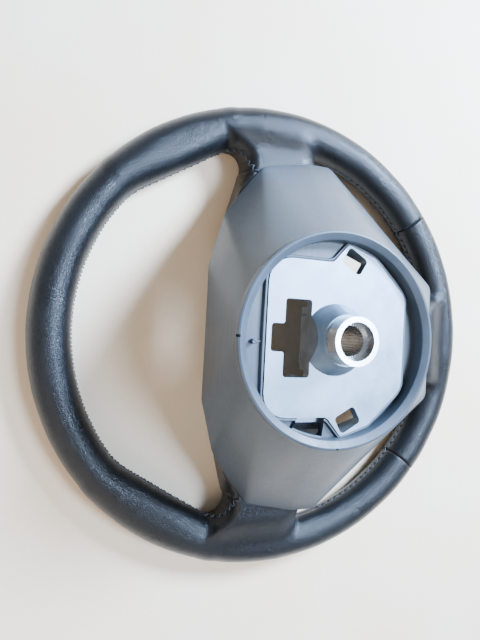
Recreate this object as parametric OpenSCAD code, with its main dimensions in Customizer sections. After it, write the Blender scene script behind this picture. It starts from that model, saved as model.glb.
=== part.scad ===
// Three-spoke leather steering wheel without its centre pad, lying face down.
// Origin: where the hub axis meets the plane that the front of the rim rests on.
// +Z runs along the hub axis to the steering column, +Y points to twelve o'clock.

/* [Rim] */
// Outside diameter of the rim
rim_d = 375; // [365:1:390]
// Diameter of the grip section
grip_d = 30; // [28:0.5:32]
// Thickness of the leather
leather_t = 1.2; // [1:0.1:1.6]
// How far below three and nine o'clock the cross seams lie, in degrees
seam_angle = 50.5; // [46:0.5:54]
// Gap between two leather panels at a cross seam
seam_gap = 0.3; // [0.2:0.1:0.6]
// Angle above three o'clock at which a thumb rest leaves the round rim
thumb_start = 49; // [46:1:52]
// Angle above three o'clock at which a thumb rest runs into the spoke
thumb_end = 15; // [12:1:18]
// How much slimmer the thumb rest's section is than the grip, on the radius
thumb_inset = 0.5; // [0.4:0.1:1]

/* [Side spokes] */
// Distance from the hub axis to the waist of a side spoke
waist_x = 115; // [110:1:120]
// Height of the waist above the three o'clock line, on the front edge
waist_y = 45; // [42:1:48]
// Radius of the waist, seen along the hub axis
waist_r = 28; // [26:0.5:30]
// Lower edge of the spoke below the three o'clock line, at the rim
spoke_low = 27; // [24:1:30]
// Slope of that lower edge towards the hub
low_slope = 0.33; // [0.28:0.01:0.36]
// Distance from the hub axis to the inner end of the spoke's leather
sleeve_end = 76; // [74:1:80]

/* [Lower spoke] */
// Half width of the lower spoke's leather
lower_half = 44; // [40:1:46]
// Distance from the hub axis to the inner end of its leather
lower_end = 112; // [108:1:118]

/* [Rear cover] */
// Height of the collar's top over the front of the rim
collar_z = 128; // [124:1:132]
// Outside diameter of the collar
collar_d = 133.6; // [131:0.2:136]
// Width of the collar's top face
collar_w = 5.8; // [5:0.2:6.4]
// Depth of the cup inside the collar
cup_depth = 11; // [9:0.5:13]
// Wall of the cover
cover_t = 2.5; // [2:0.1:3]
// Reach of the cover along the side spokes
cover_side = 136; // [132:1:138]
// Reach of the cover along the lower spoke
cover_low = 141; // [138:1:144]
// Distance from the hub axis to the cover's edge at a lower slot
cover_slot = 122; // [118:1:125]
// Distance from the hub axis to the cover's edge at twelve o'clock
cover_top = 68.5; // [68:0.5:71]
// Distance from the hub axis to the slanted edge beside a side spoke
cover_slant = 93; // [90:1:96]
// Height of the cover's edge at the spokes
edge_z = 40; // [38:1:42]
// Height of the cover's edge at twelve o'clock
edge_top_z = 55; // [50:1:60]

/* [Hub] */
// Height of the boss's end over the front of the rim
boss_z = 143.8; // [140:0.2:148]
// Diameter of the steel bush
bush_d = 28.8; // [28:0.2:30]
// Diameter of the counterbore in the bush
counterbore_d = 22.5; // [22:0.1:24]
// Depth of the counterbore
counterbore_depth = 8.8; // [7:0.2:12]
// Diameter over the tooth spaces of the spline
spline_d = 20.2; // [19:0.2:21]
// Depth of a spline tooth
spline_h = 0.9; // [0.6:0.1:1.2]
// Number of spline teeth
spline_n = 36; // [24:1:40]
// Height of the hub plate's face over the front of the rim
plate_z = 120; // [118:0.5:121]
// Thickness of the hub plate
plate_t = 7; // [6:0.5:8]
// Half width of the hub plate
plate_half = 48; // [46:0.5:49]
// Distance from the hub axis to the plate's twelve o'clock edge
plate_top = 46.5; // [44:0.5:47]
// Distance from the hub axis to the plate's six o'clock edge
plate_low = 50; // [48:0.5:51]
// Diameter of the cast skirt where it leaves the plate
skirt_d = 44.8; // [42:0.4:48]
// Width of the square windows
window_w = 11.5; // [10:0.5:12]
// Length of the square windows
window_l = 15.5; // [14:0.5:16]
// Width of a spoke arm of the casting
arm_w = 26; // [22:1:28]

/* [Lacing and screws] */
// Diameter of the lacing thread
thread_d = 1.6; // [1.2:0.1:1.8]
// Diameter of a cover screw's shank
screw_d = 3; // [2.6:0.2:3.2]
// Running gap between pieces that seat on each other
fit_gap = 0.3; // [0.2:0.05:0.4]

/* [Hidden] */
$fn = 96;
rim_rc = (rim_d - grip_d) / 2;
grip_r = grip_d / 2;
thumb_r = grip_r - thumb_inset;
root_end = rim_rc - 5;
collar_r = collar_d / 2;
cup_r = collar_r - collar_w;
cup_z = collar_z - cup_depth;
flange_t = 3;
shoulder_z = cup_z - flange_t - fit_gap;
shoulder_w = 4;
seat_gap = 0.6;
slot_azimuth = 40;
slant_azimuth = 53;
tip_r = cup_r - 0.8;
window_at = [49.8, -11];
window_turn = 60;
skirt_top_z = plate_z + 13;
skirt_top_r = bush_d / 2 + 1.2;
bush_low_z = plate_z - plate_t - 7;
window_top = [[-23.7, 17.5], [23.7, 17.5], [23.7, 35], [8.5, 35], [8.5, 43.5], [-8.5, 43.5], [-8.5, 35], [-23.7, 35]];
ring_w = 14;
ring_h = 11;
ring_top_z = grip_r + 6;
ring_wall = 3;
arm_wall = 4;
arm_start = plate_low - 3;
knee_s = 104;
knee_z = ring_top_z + 9;
flat_s = 138;
side_arm_y = 11;
low_arm_x = 26;
low_arm_w = 18;
screw_r = cup_r - 0.6;
ear_d = 3 * screw_d;
ear_t = 4;
cup_wall = 2;
lip_h = 6.5;
skin_r = collar_r - 1.2;
screw_angles = [33, 147, 308, 232];
thread_r = thread_d / 2;
lacing_r = rim_rc - grip_r - 0.3;
flat_shares = [0, 0.04, 0.12, 0.3, 0.5, 0.7, 0.88, 0.96];

// Helpers

function total(v, i = 0) = i < len(v) ? v[i] + total(v, i + 1) : 0;
function mix(a, b, t) = a + (b - a) * t;
function ease(t) = let (u = min(max(t, 0), 1)) u * u * (3 - 2 * u);

// Radius at angle a of an outline whose straight faces, each [normal angle, distance], blend into each other.
function blended(faces, a, p) =
    pow(total([for (f = faces) pow(max(cos(a - f[0]), 0.001) / f[1], p)]), -1 / p);

// Corner of a rounded polygon as an arc of radius r.
function arc_corner(a, b, c, r, n = 6) =
    let (
        u = (a - b) / norm(a - b),
        v = (c - b) / norm(c - b),
        half = acos(u * v) / 2,
        m = b + (u + v) / norm(u + v) * r / sin(half),
        p = b + u * r / tan(half),
        q = b + v * r / tan(half),
        start = atan2(p.y - m.y, p.x - m.x),
        sweep = atan2(q.y - m.y, q.x - m.x) - start,
        turn = sweep > 180 ? sweep - 360 : sweep < -180 ? sweep + 360 : sweep
    )
    [for (i = [0:n]) m + r * [cos(start + turn * i / n), sin(start + turn * i / n)]];

function rounded(points, radii) =
    let (n = len(points))
    [for (i = [0:n - 1])
        each arc_corner(points[(i + n - 1) % n], points[i], points[(i + 1) % n], radii[i])];

// Hollow skin over rings that run out along one face and back along the other.
module loop_skin(rings) {
    n = len(rings[0]);
    m = len(rings);
    points = [for (r = rings) each r];
    sides = [for (k = [0:m - 1]) for (i = [0:n - 1])
        let (j = (i + 1) % n, l = (k + 1) % m) each [
            [k * n + i, k * n + j, l * n + j],
            [k * n + i, l * n + j, l * n + i]
        ]];
    polyhedron(points, sides, convexity = 6);
}

// Rim and spokes

// Part of the round rim, from angle a to angle b.
module rim_arc(r, a, b) {
    rotate([0, 0, a])
        rotate_extrude(angle = b - a)
            translate([rim_rc, grip_r]) circle(r);
}

// Thumb rest: a straight bar across the bend of the rim, above one side spoke.
module thumb_bar(r) {
    start = rim_rc * [cos(thumb_start), sin(thumb_start)];
    end = rim_rc * [cos(thumb_end), sin(thumb_end)];
    d = end - start;
    translate([start.x, start.y, grip_r])
        rotate([0, 0, atan2(d.y, d.x)]) rotate([0, 90, 0]) cylinder(r = r, h = norm(d));
}

// Half length of the chord of the rim's centre circle at distance x from the hub axis
function rim_chord(x) = sqrt(pow(rim_rc, 2) - x * x) - 2;

// Straight and curved plan of a side spoke: a line from the hub, then the arc of the waist.
waist_at = [waist_x - 3, waist_y + waist_r];
waist_steps = [for (a = [-34:6:62]) a];
function spoke_lower(x) = -spoke_low - low_slope * (rim_rc - grip_r - x);
function side_plan(inset) = concat(
    [[sleeve_end, waist_y + 9 - inset]],
    [for (a = waist_steps) waist_at + (waist_r + inset) * [sin(a), -cos(a)]],
    [rim_rc * [cos(24), sin(24)], [root_end, rim_chord(root_end)],
     [root_end, spoke_lower(root_end) + inset],
     [sleeve_end, spoke_lower(sleeve_end) + inset]]
);

// Section of the spoke's flank: how far it has drawn back at each height.
flank = [
    [0, 10], [3, 5.5], [6, 2.6], [9, 0.8], [12, 0], [16, 0.4], [19, 2], [23, 5.5], [27, 10.5], [31, 17],
    [35, 26], [37, 34]
];

module spoke_profile(inset, far, low) {
    over = inset > 0 ? 1 : 0;
    top = [[sleeve_end - over, edge_z + 4], [far - 14, edge_z - cover_t - 1.2], [root_end, 2 * grip_r - 5]];
    base = [[root_end, 6], [sleeve_end - over, low]];
    polygon(concat([for (q = top) q - [0, inset]], [for (q = base) q + [0, inset]]));
}

module waist_cut(inset) {
    translate([waist_at.x, waist_at.y, 0])
        rotate_extrude()
            polygon(concat(
                [[0, -1], [waist_r + flank[0][1] + inset, -1]],
                [for (q = flank) [waist_r + q[1] + inset, q[0]]],
                [[waist_r + flank[len(flank) - 1][1] + inset, collar_z], [0, collar_z]]
            ));
}

// Steep flank of the spoke between the waist and the hub, under the cover's slanted edge.
module hub_flank(inset) {
    over = inset > 0 ? 1 : 0;
    translate([0, waist_y + 9 - inset, 0])
        rotate([90, 0, 0])
            linear_extrude(2 * waist_y)
                polygon([
                    [sleeve_end - over, edge_z - 14 + inset], [waist_x - 16 - inset, 12 + inset],
                    [waist_x - 16 - inset, 24 - inset], [waist_x - 28 - inset, edge_z + 3 - inset],
                    [sleeve_end - over, edge_z + 4 - inset]
                ]);
}

// Leather-covered root of a side spoke, drawn at three o'clock.
module side_root(inset) {
    intersection() {
        translate([0, 0, -1]) linear_extrude(collar_z) polygon(side_plan(inset));
        union() {
            difference() {
                translate([0, rim_chord(root_end), 0])
                    rotate([90, 0, 0])
                        linear_extrude(2 * rim_chord(root_end)) spoke_profile(inset, cover_side, 12);
                waist_cut(inset);
            }
            hub_flank(inset);
        }
    }
}

// Leather-covered root of the lower spoke.
module lower_root(inset) {
    half = lower_half - inset;
    wide = rim_chord(root_end) - inset;
    intersection() {
        translate([0, 0, -1])
            linear_extrude(collar_z)
                polygon([
                    [-half, -lower_end + 2], [-half, -cover_low - 3], [-wide, -rim_rc + grip_r],
                    [-wide, -root_end], [wide, -root_end], [wide, -rim_rc + grip_r],
                    [half, -cover_low - 3], [half, -lower_end + 2]
                ]);
        rotate([90, 0, -90])
            translate([0, 0, -wide])
                linear_extrude(2 * wide) lower_profile(inset);
    }
}

module lower_profile(inset) {
    over = inset > 0 ? 1 : 0;
    top = [[lower_end - over, edge_z + 2], [cover_low - 2, edge_z - cover_t - 1.2], [root_end, 2 * grip_r - 5]];
    base = [[root_end, 6], [lower_end - over, 10]];
    polygon(concat([for (q = top) q - [0, inset]], [for (q = base) q + [0, inset]]));
}

module both_sides() {
    children();
    mirror([1, 0, 0]) children();
}

module upper_form(inset, trim) {
    rim_arc(grip_r - inset, -seam_angle + trim, 180 + seam_angle - trim);
    both_sides() {
        thumb_bar(thumb_r - inset);
        side_root(inset);
    }
}

module lower_form(inset, trim) {
    rim_arc(grip_r - inset, 180 + seam_angle + trim, 360 - seam_angle - trim);
    lower_root(inset);
}

// Groove and thread of the lacing along the inside of the rim, from angle a to angle b.
module lacing(r, a, b) {
    rotate([0, 0, a])
        rotate_extrude(angle = b - a, $fn = 48)
            translate([lacing_r, grip_r]) circle(r, $fn = 16);
}

lacing_top = [thumb_start + 3, 177 - thumb_start];
lacing_right = [-64, -16];
lacing_left = [196, 244];

module lacing_grooves() {
    for (span = [lacing_top, lacing_right, lacing_left])
        lacing(thread_r + 0.1, span[0] - 0.3, span[1] + 0.3);
}

module upper_leather() {
    half_gap = asin(seam_gap / 2 / rim_rc);
    color("#2b2d31")
        difference() {
            upper_form(0, half_gap);
            upper_form(leather_t, 0);
            arms(fit_gap);
            lacing_grooves();
        }
}

module lower_leather() {
    half_gap = asin(seam_gap / 2 / rim_rc);
    color("#2f3135")
        difference() {
            lower_form(0, half_gap);
            lower_form(leather_t, 0);
            arms(fit_gap);
            lacing_grooves();
        }
}

module rim_foam() {
    color("#4a4640")
        difference() {
            union() {
                rim_arc(grip_r - leather_t, 0, 360);
                both_sides() {
                    thumb_bar(thumb_r - leather_t);
                    side_root(leather_t);
                }
                lower_root(leather_t);
            }
            rim_ring_envelope();
            arms(0);
            translate([0, 0, -1]) cylinder(r = sleeve_end, h = collar_z);
        }
}

module upper_lacing() color("#1c1d20") lacing(thread_r, lacing_top[0], lacing_top[1]);
module right_slot_lacing() color("#1c1d20") lacing(thread_r, lacing_right[0], lacing_right[1]);
module left_slot_lacing() color("#1c1d20") lacing(thread_r, lacing_left[0], lacing_left[1]);

// Casting

function arm_z(s) =
    s < knee_s
    ? mix(shoulder_z, knee_z, (1 - cos(180 * (s - arm_start) / (knee_s - arm_start))) / 2)
    : mix(knee_z, ring_top_z, min((s - knee_s) / (flat_s - knee_s), 1));

arm_stations = concat([for (u = [0:0.1:1]) mix(arm_start, knee_s, u)], [flat_s, rim_rc]);

// Side profile of an arm, from the hub to the rim, drop below the arm's back.
module arm_profile(top, bottom) {
    polygon(concat(
        [for (s = arm_stations) [s, arm_z(s) - top]],
        [for (i = [len(arm_stations) - 1:-1:0]) [arm_stations[i], arm_z(arm_stations[i]) - bottom]]
    ));
}

module arm(width, top, bottom) {
    rotate([90, 0, 0])
        linear_extrude(width, center = true) arm_profile(top, bottom);
}

module each_arm(grow) {
    both_sides() translate([0, side_arm_y, 0]) arm(arm_w + grow, -grow / 2, ring_h + grow / 2);
    for (x = [-low_arm_x, low_arm_x])
        translate([x, 0, 0]) rotate([0, 0, -90]) arm(low_arm_w + grow, -grow / 2, ring_h + grow / 2);
}

module arms(gap) each_arm(2 * gap);

module arm_pockets() {
    both_sides() translate([0, side_arm_y, 0]) arm(arm_w - 2 * arm_wall, arm_wall, ring_h + 2);
    for (x = [-low_arm_x, low_arm_x])
        translate([x, 0, 0]) rotate([0, 0, -90]) arm(low_arm_w - 2 * arm_wall, arm_wall, ring_h + 2);
}

module rim_ring_envelope() {
    rotate_extrude()
        translate([rim_rc - ring_w / 2, ring_top_z - ring_h]) square([ring_w, ring_h]);
}

module rim_ring_channel() {
    rotate_extrude()
        translate([rim_rc - ring_w / 2 + ring_wall, ring_top_z - ring_h - 1])
            square([ring_w - 2 * ring_wall, ring_h - ring_wall + 1]);
}

// Outline of the hub plate, grown by g on every side.
module plate_outline(g) {
    half = [
        [plate_half + g, plate_top + g], [plate_half + g, 4 + g / 2],
        [tip_r * cos(6) + g, -tip_r * sin(6) + g / 3], [plate_half + 5 + g, -26 - g / 3],
        [30 + g / 2, -plate_low - g]
    ];
    other = [for (i = [len(half) - 1:-1:0]) [-half[i].x, half[i].y]];
    radii = [15, 5, 2, 6, 12];
    back = [for (i = [len(radii) - 1:-1:0]) radii[i]];
    polygon(rounded(concat(half, other), concat(radii, back)));
}

module window_outline(g) {
    polygon(rounded(
        [for (p = [[-1, -1], [1, -1], [1, 1], [-1, 1]])
            [p.x * (window_w / 2 + g), p.y * (window_l / 2 + g)]],
        [2.5, 2.5, 2.5, 2.5]));
}

module square_windows(g) {
    both_sides()
        translate([window_at.x, window_at.y, 0]) rotate([0, 0, window_turn - 90])
            linear_extrude(collar_z) window_outline(g);
}

module connector_window() {
    linear_extrude(boss_z)
        polygon(rounded(window_top, [2, 2, 2, 1.5, 2, 2, 1.5, 2]));
}

module screw_ears() {
    for (a = screw_angles)
        rotate([0, 0, a]) {
            translate([screw_r, 0, shoulder_z - ear_t]) cylinder(d = ear_d, h = ear_t);
            translate([plate_half - 8, -ear_d / 2, shoulder_z - ear_t])
                cube([screw_r - plate_half + 8, ear_d, ear_t]);
        }
}

module armature() {
    color("#c9ced4")
        difference() {
            union() {
                translate([0, 0, plate_z - plate_t]) linear_extrude(plate_t) plate_outline(0);
                translate([0, 0, plate_z - plate_t - 7])
                    linear_extrude(shoulder_z - plate_z + plate_t + 7) plate_outline(shoulder_w);
                translate([0, 0, plate_z])
                    cylinder(r1 = skirt_d / 2, r2 = skirt_top_r, h = skirt_top_z - plate_z);
                screw_ears();
                each_arm(0);
                rim_ring_envelope();
            }
            difference() {
                translate([0, 0, plate_z - plate_t - 8]) linear_extrude(8) plate_outline(-2);
                translate([0, 0, bush_low_z - 1]) cylinder(d = skirt_d, h = plate_t + 8);
                translate([0, 0, bush_low_z - 1]) linear_extrude(plate_t + 8) rib_outline();
            }
            arm_pockets();
            rim_ring_channel();
            connector_window();
            square_windows(0);
            cylinder(d = bush_d, h = boss_z);
            for (a = screw_angles)
                rotate([0, 0, a]) translate([screw_r, 0, shoulder_z - 5])
                    cylinder(d = screw_d + 2 * fit_gap, h = 6);
        }
}

// Stiffening ribs under the hub plate.
module rib_outline() {
    for (a = [45, 135, 225, 315])
        rotate(a) translate([0, -1.5]) square([collar_r, 3]);
}

module spline_outline() {
    outer = spline_d / 2;
    inner = outer - spline_h;
    step = 360 / spline_n;
    polygon([for (i = [0:spline_n - 1]) each [
        outer * [cos(i * step), sin(i * step)],
        outer * [cos((i + 0.3) * step), sin((i + 0.3) * step)],
        inner * [cos((i + 0.5) * step), sin((i + 0.5) * step)],
        inner * [cos((i + 0.8) * step), sin((i + 0.8) * step)]
    ]]);
}

module splined_bush() {
    color("#dfe3e6")
        difference() {
            translate([0, 0, bush_low_z]) cylinder(d = bush_d, h = boss_z - bush_low_z);
            translate([0, 0, boss_z - counterbore_depth]) cylinder(d = counterbore_d, h = boss_z);
            translate([0, 0, bush_low_z - 1])
                linear_extrude(boss_z - bush_low_z) spline_outline();
        }
}

// Rear cover

// The cover's flats at height z, each [normal angle, distance], anticlockwise from the right-hand slot.
function cover_faces(z, inset) =
    let (
        side = cover_side - 3,
        flats = [
            [-slot_azimuth, cover_slot, edge_z], [8, side, edge_z], [30, 0.88 * side, edge_z],
            [slant_azimuth, cover_slant, edge_z], [90, cover_top, edge_top_z],
            [180 - slant_azimuth, cover_slant, edge_z], [150, 0.88 * side, edge_z], [172, side, edge_z],
            [180 + slot_azimuth, cover_slot, edge_z], [270, cover_low, edge_z]
        ]
    )
    [for (f = flats) [f[0], mix(collar_r, f[1], (collar_z - z) / (collar_z - f[2])) - inset]];

// Azimuth of the corner where two neighbouring flats meet.
function corner_azimuth(f, g) =
    let (
        d = sin(g[0] - f[0]),
        x = (f[1] * sin(g[0]) - g[1] * sin(f[0])) / d,
        y = (g[1] * cos(f[0]) - f[1] * cos(g[0])) / d,
        a = atan2(y, x)
    )
    a < f[0] - 90 ? a + 360 : a;

// Azimuths of a ring's points: they follow the corners down, close together beside each one.
function ring_azimuths(faces) =
    let (
        n = len(faces),
        corners = [for (k = [0:n - 1]) corner_azimuth(faces[k], faces[(k + 1) % n])],
        row = concat([corners[n - 1] - 360], corners)
    )
    [for (k = [0:n - 1]) for (share = flat_shares) mix(row[k], row[k + 1], share)];

// Height of the cover's lower edge at azimuth a.
function cover_edge(a) = mix(edge_top_z, edge_z, ease((abs(a - 90) - 36) / 42));

// One ring of the cover's wall, share u of the way down from the lip.
function cover_ring(u, inset) =
    let (level = mix(collar_z - lip_h, edge_z, u))
    [for (a = ring_azimuths(cover_faces(level, inset)))
        let (
            z = mix(collar_z - lip_h, cover_edge(a), u),
            free = blended(cover_faces(z, inset), a, mix(14, 60, u)),
            r = mix(skin_r - inset, free, ease((collar_z - lip_h - z) / 5))
        )
        [r * cos(a), r * sin(a), z]];

function lifted(ring, h) = [for (q = ring) q + [0, 0, h]];

module cover_skin() {
    steps = [0, 0.03, 0.06, 0.1, 0.18, 0.32, 0.48, 0.64, 0.82, 1];
    outside = [for (u = steps) cover_ring(u, 0)];
    inside = [for (u = [1, 0.64, 0.32, 0.1, 0.03, 0]) cover_ring(u, cover_t)];
    loop_skin(concat([lifted(outside[0], 1.5)], outside, inside, [lifted(inside[len(inside) - 1], 1.5)]));
}

module collar() {
    rotate_extrude()
        polygon([
            [cup_r, cup_z - 1], [cup_r, collar_z - 2.4], [cup_r + 1, collar_z - 1.4],
            [collar_r - 1.6, collar_z], [collar_r - 0.5, collar_z - 0.2], [collar_r, collar_z - 1],
            [collar_r, collar_z - lip_h], [cup_r + cup_wall, collar_z - lip_h], [cup_r + cup_wall, cup_z - 1]
        ]);
}

module cover_flange() {
    difference() {
        translate([0, 0, cup_z - flange_t]) cylinder(r = cup_r + cup_wall, h = flange_t);
        translate([0, 0, cup_z - flange_t - 1]) linear_extrude(flange_t + 2) plate_outline(seat_gap);
        translate([0, 0, cup_z - flange_t - 1]) linear_extrude(flange_t + 2) flange_slot();
    }
}

// Narrow slot beside the plate on the nine o'clock side.
module flange_slot() {
    polygon(concat(
        [for (a = [154:2:174]) (cup_r - 1) * [cos(a), sin(a)]],
        [for (a = [174:-2:154]) (plate_half + 1) * [-1, tan(180 - a)]]
    ));
}

module locating_pin() {
    y = (plate_top + seat_gap + cup_r) / 2;
    translate([-3, y, cup_z - 1]) cylinder(d = 3, h = 3.4);
    translate([-3.6, y - 5, cup_z - 1]) cube([1.2, 5, 2]);
}

module rear_cover() {
    color("#3a3d42")
        difference() {
            union() {
                cover_skin();
                collar();
                cover_flange();
                locating_pin();
            }
            for (a = screw_angles)
                rotate([0, 0, a]) translate([screw_r, 0, shoulder_z - 1])
                    cylinder(d = screw_d + 0.1, h = flange_t + 0.8);
            for (a = [90, 180])
                rotate([0, 0, a]) translate([collar_r - 0.8, -0.6, collar_z - 3]) cube([2, 1.2, 4]);
        }
}

module cover_screws() {
    color("#8f9499")
        for (a = screw_angles)
            rotate([0, 0, a]) translate([screw_r, 0, 0]) {
                difference() {
                    translate([0, 0, shoulder_z - ear_t - 2.6]) cylinder(d = 2 * screw_d, h = 2.6);
                    translate([0, 0, shoulder_z - 8]) cylinder(d = screw_d * 0.9, h = 2.8, $fn = 6);
                }
                translate([0, 0, shoulder_z - ear_t - 0.5]) cylinder(d = screw_d, h = ear_t + flange_t);
            }
}

armature();
splined_bush();
rim_foam();
upper_leather();
lower_leather();
upper_lacing();
left_slot_lacing();
right_slot_lacing();
rear_cover();
cover_screws();
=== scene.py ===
# A leather steering wheel without its centre pad, lying face down on a pale floor.
# Lengths are in millimetres and in the CAD model's frame: +Z runs along the hub axis to
# the steering column, +Y points to twelve o'clock. Meshes are turned to metres as they are made.
import math

import bmesh
import bpy
import numpy as np
from mathutils import Matrix, Vector


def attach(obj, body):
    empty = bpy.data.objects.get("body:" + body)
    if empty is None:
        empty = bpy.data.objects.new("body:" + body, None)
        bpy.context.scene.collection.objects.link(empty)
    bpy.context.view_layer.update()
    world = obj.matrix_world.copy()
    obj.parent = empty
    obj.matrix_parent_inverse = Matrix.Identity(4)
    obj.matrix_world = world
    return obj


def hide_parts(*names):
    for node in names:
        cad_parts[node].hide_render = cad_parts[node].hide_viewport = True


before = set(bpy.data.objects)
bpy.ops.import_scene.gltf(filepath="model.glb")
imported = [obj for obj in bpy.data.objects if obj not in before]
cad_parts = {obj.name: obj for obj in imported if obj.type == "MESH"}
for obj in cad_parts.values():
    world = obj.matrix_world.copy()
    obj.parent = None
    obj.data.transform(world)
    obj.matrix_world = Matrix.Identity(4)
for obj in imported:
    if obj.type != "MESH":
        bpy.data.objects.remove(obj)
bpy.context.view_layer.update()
mm = 0.001


# Colours and nodes


def toLinear(hexColour):
    parts = [int(hexColour[i:i + 2], 16) / 255 for i in (1, 3, 5)]
    return tuple(c / 12.92 if c <= 0.04045 else ((c + 0.055) / 1.055) ** 2.4 for c in parts)


# An input is a value, or the output socket that is linked to it.
def addNode(tree, kind, inputs=None, **settings):
    node = tree.nodes.new(kind)
    for key, value in settings.items():
        setattr(node, key, value)
    for socket, value in (inputs or {}).items():
        target = node.inputs[socket]
        if isinstance(value, bpy.types.NodeSocket):
            tree.links.new(value, target)
        else:
            target.default_value = value
    return node


# The two colours that a pattern goes between, for the inputs of a Mix node.
def tones(look):
    return {6: (*toLinear(look["dark"]), 1), 7: (*toLinear(look["light"]), 1)}


# Camera and light

photoView = {
    "place": (4.854, 146.671, 365.238),
    "right": (0.0531, -0.9454, 0.3217),
    "down": (-0.9985, -0.0553, 0.0025),
    "ahead": (0.0154, -0.3213, -0.9468),
    "lens": 25.3125,
    "sensor": 36.0,
}

lights = [
    {"name": "skyLight", "place": (560, -660, 760), "size": 360, "watts": 98, "colour": "#bad7ff"},
    {"name": "overheadSky", "place": (40, -520, 1200), "size": 420, "watts": 30, "colour": "#c0daff"},
    {"name": "fillLight", "place": (-700, 500, 700), "size": 1000, "watts": 7, "colour": "#fff1e2"},
]
lampAim = (0, 0, 30)

paleRoom = {
    "colour": "#eef2f6",
    "lights": 0.42,  # strength with which it lights matt surfaces
    "shows": 0.92,  # strength that the camera, gloss and glass see
}


def addCamera(view):
    data = bpy.data.cameras.new("photoCamera")
    data.sensor_fit = "VERTICAL"
    data.sensor_height = view["sensor"]
    data.lens = view["lens"]
    data.clip_start = 0.01
    camera = bpy.data.objects.new("photoCamera", data)
    right, down, ahead = (Vector(view[key]) for key in ("right", "down", "ahead"))
    turn = Matrix((right, -down, -ahead)).transposed().to_4x4()
    camera.matrix_world = Matrix.Translation(Vector(view["place"]) * mm) @ turn
    bpy.context.scene.collection.objects.link(camera)
    bpy.context.scene.camera = camera


def addLight(lamp):
    data = bpy.data.lights.new(lamp["name"], "AREA")
    data.shape = "DISK"
    data.size = lamp["size"] * mm
    data.energy = lamp["watts"]
    data.color = toLinear(lamp["colour"])
    light = bpy.data.objects.new(lamp["name"], data)
    place = Vector(lamp["place"]) * mm
    aim = (Vector(lampAim) * mm - place).to_track_quat("-Z", "Y")
    light.matrix_world = Matrix.Translation(place) @ aim.to_matrix().to_4x4()
    bpy.context.scene.collection.objects.link(light)


def setWorld(room):
    world = bpy.data.worlds.new("paleRoom")
    world.use_nodes = True
    tree = world.node_tree
    tree.nodes.clear()
    rays = addNode(tree, "ShaderNodeLightPath").outputs
    seen = addNode(tree, "ShaderNodeMath", {
        0: rays["Is Camera Ray"], 1: rays["Is Glossy Ray"]}, operation="MAXIMUM")
    seen = addNode(tree, "ShaderNodeMath", {
        0: seen.outputs[0], 1: rays["Is Transmission Ray"]}, operation="MAXIMUM")
    colour = (*toLinear(room["colour"]), 1)
    lighting, shown = (
        addNode(tree, "ShaderNodeBackground", {"Color": colour, "Strength": room[key]}).outputs[0]
        for key in ("lights", "shows"))
    both = addNode(tree, "ShaderNodeMixShader", {0: seen.outputs[0], 1: lighting, 2: shown})
    addNode(tree, "ShaderNodeOutputWorld", {"Surface": both.outputs[0]})
    bpy.context.scene.world = world


# Materials. Sizes of patterns are in millimetres.


def startMaterial(name):
    material = bpy.data.materials.new(name)
    material.use_nodes = True
    tree = material.node_tree
    tree.nodes.clear()
    return material, tree, addNode(tree, "ShaderNodeTexCoord").outputs["Object"]


# Black cowhide, dyed, embossed with a pebble grain and stretched over foam. To the eye it is
# nearly black, with soft highlights that break up at the grain and are smoother where hands
# have polished it.
leatherLook = {
    "dark": "#08090b",
    "light": "#17191c",
    "grain": 1.1,  # from pebble to pebble; the real one, about half as wide, is too fine to show
    "valley": 0.22,  # share of a pebble that falls off to its edge
    "waves": 2.2,  # bend the rows of pebbles
    "shift": 0.6,  # by this much
    "pores": 0.35,
    "creases": 9.0,
    "creaseDepth": 0.35,
    "patches": 26.0,  # polished and dull places
    "depth": 0.16,
    "rough": (0.24, 0.38),
    "ior": 1.5,
    "specular": 0.3,
    "sheen": 0.04,
    "sheenRough": 0.45,
}


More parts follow.
